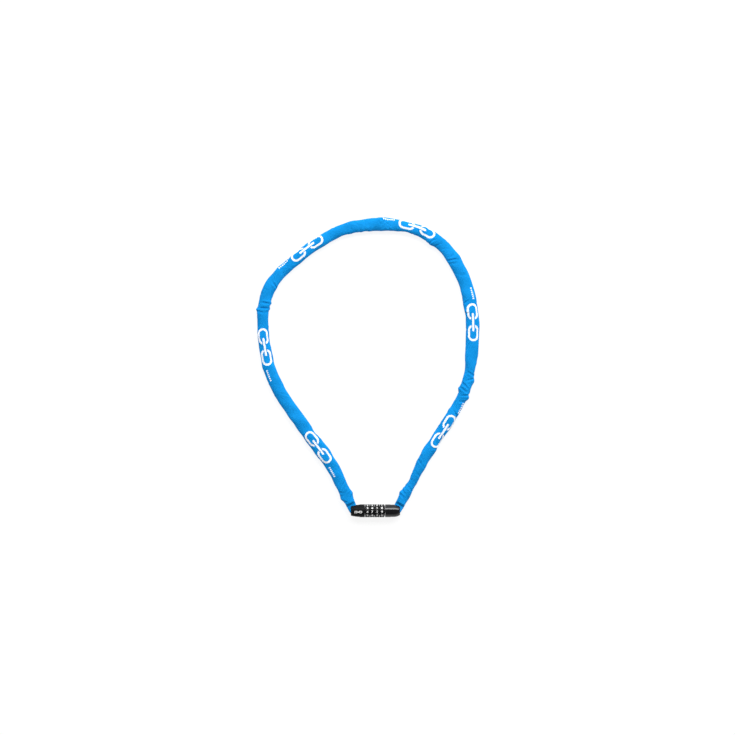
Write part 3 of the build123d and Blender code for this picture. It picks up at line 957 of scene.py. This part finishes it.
def make_digits():
    """Ten digits on each dial. They read upright from the side of the barrel away from the loop."""
    shapes = [digit_shape(digit) for digit in range(DIGITS)]
    for number in range(DIALS):
        x = FIRST_DIAL_X + DIAL_PITCH * number
        points, faces, total = [], [], 0
        for lobe in range(DIGITS):
            shape, shape_faces = shapes[(READING[number] + lobe) % DIGITS]
            turned = shape * (1, -1, 1)
            angle = FIRST_LOBE_DEG + lobe * 360 / DIGITS
            points.append(on_cylinder(turned, x, angle, DIAL_RADIUS))
            faces += [[total + index for index in reversed(face)] for face in shape_faces]
            total += len(shape)
        dial = f"dial_{number + 1}"
        digits = make_object(f"{dial}_digits", np.vstack(points), faces, smooth=False)
        dress(digits, white_paint)
        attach(digits, dial)


make_digits()


# ---------------------------------------------------------------- plain mark on the barrel
def ribbon(outer, inner):
    """A closed strip between two loops of as many points each, in three rows."""
    middle = (outer + inner) / 2
    rows = np.vstack([outer, middle, inner])
    count = len(outer)
    faces = []
    for start in (0, count):
        for i in range(count):
            k = (i + 1) % count
            faces.append((start + i, start + k, start + count + k, start + count + i))
    return rows, faces


def stadium(straight, radius, steps=16):
    """A loop of two half circles and two straight sides, anticlockwise."""
    turns = np.radians(np.linspace(-90, 90, steps))
    right = np.stack([straight + radius * np.cos(turns), radius * np.sin(turns)], axis=1)
    return np.vstack([right, -right])


def make_mark():
    """Two rings joined by a bar, laid on the barrel's shell."""
    shell = frame["nodes"]["barrel_shell"]
    tree = BVHTree.FromPolygons(
        [v.co for v in shell.data.vertices], [p.vertices for p in shell.data.polygons]
    )
    outer = stadium(RING_STRAIGHT, RING_RADIUS + MARK_STROKE / 2)
    inner = stadium(RING_STRAIGHT, RING_RADIUS - MARK_STROKE / 2)
    points, faces, total = [], [], 0
    for side in (-1, 1):
        rows, strip = ribbon(outer + (side * RING_OFFSET, 0), inner + (side * RING_OFFSET, 0))
        points.append(rows)
        faces += [[total + i for i in face] for face in strip]
        total += len(rows)
    lengths = np.linspace(-BAR_LENGTH / 2, BAR_LENGTH / 2, 9)
    widths = np.linspace(-MARK_STROKE / 2, MARK_STROKE / 2, 3)
    points.append(np.array([(a, b) for a in lengths for b in widths]))
    for i in range(len(lengths) - 1):
        for j in range(len(widths) - 1):
            corner = total + i * len(widths) + j
            faces.append([corner, corner + len(widths), corner + len(widths) + 1, corner + 1])
    heights = [MARK_PROUD] * total + [BAR_PROUD] * len(points[-1])
    laid = []
    for (a, b), height in zip(np.vstack(points) * MARK_SCALE * MM, heights):
        angle = math.radians(MARK_ANGLE_DEG) - b / DIAL_RADIUS
        out = Vector((0, math.cos(angle), math.sin(angle)))
        axis_point = Vector((MARK_MIDDLE_X + a, 0, AXIS_HEIGHT))
        hit = tree.ray_cast(axis_point + out * MARK_RAY_START, -out)[0]
        laid.append(hit + out * height)
    mark = make_object("barrel_mark", laid, faces)
    dress(mark, white_paint)
    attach(mark, "barrel")


make_mark()


# ---------------------------------------------------------------- floor, light and world
def floor_material():
    """A white light table: it glows a little, so shadows on it stay faint."""
    material, tree, shader = new_material("studio_floor")
    place = object_place(tree)
    tone = mix_colour(
        tree, noise(tree, place, 3.0), (0.15, 0.15, 0.15, 1), (0.16, 0.16, 0.16, 1)
    )
    tree.links.new(tone, shader.inputs["Base Color"])
    shader.inputs["Roughness"].default_value = 0.9
    shader.inputs["Specular IOR Level"].default_value = 0.0
    shader.inputs["Emission Color"].default_value = (1, 1, 1, 1)
    shader.inputs["Emission Strength"].default_value = FLOOR_GLOW
    return material


def make_floor():
    size = FLOOR_HALF_SIZE
    floor = make_object(
        "studio_floor",
        [(-size, -size, 0), (size, -size, 0), (size, size, 0), (-size, size, 0)],
        [(0, 1, 2, 3)],
    )
    dress(floor, floor_material())


def make_world():
    """White at the horizon and dim overhead, so that glossy black plastic stays black from above."""
    world = bpy.data.worlds.new("studio")
    world.use_nodes = True
    tree = world.node_tree
    direction = wire_up(tree, "ShaderNodeTexCoord").outputs["Generated"]
    height = wire_up(tree, "ShaderNodeSeparateXYZ", {"Vector": direction}).outputs["Z"]
    strength = between(
        tree, height, HORIZON_STRENGTH, OVERHEAD_STRENGTH, HORIZON_END, OVERHEAD_START
    )
    tree.links.new(strength, tree.nodes["Background"].inputs["Strength"])
    tree.nodes["Background"].inputs["Color"].default_value = (1, 1, 1, 1)
    bpy.context.scene.world = world


def area_light(name, place, target, size, size_y, watts):
    data = bpy.data.lights.new(name, "AREA")
    data.shape = "RECTANGLE"
    data.size, data.size_y = size, size_y
    data.energy = watts
    light = bpy.data.objects.new(name, data)
    light.location = place
    direction = Vector(target) - Vector(place)
    light.rotation_mode = "QUATERNION"
    light.rotation_quaternion = direction.to_track_quat("-Z", "Y")
    bpy.context.scene.collection.objects.link(light)


make_floor()
make_world()
area_light("key_softbox", KEY_PLACE, KEY_TARGET, *KEY_SIZE, KEY_WATTS)
bpy.context.scene.view_settings.view_transform = "Standard"
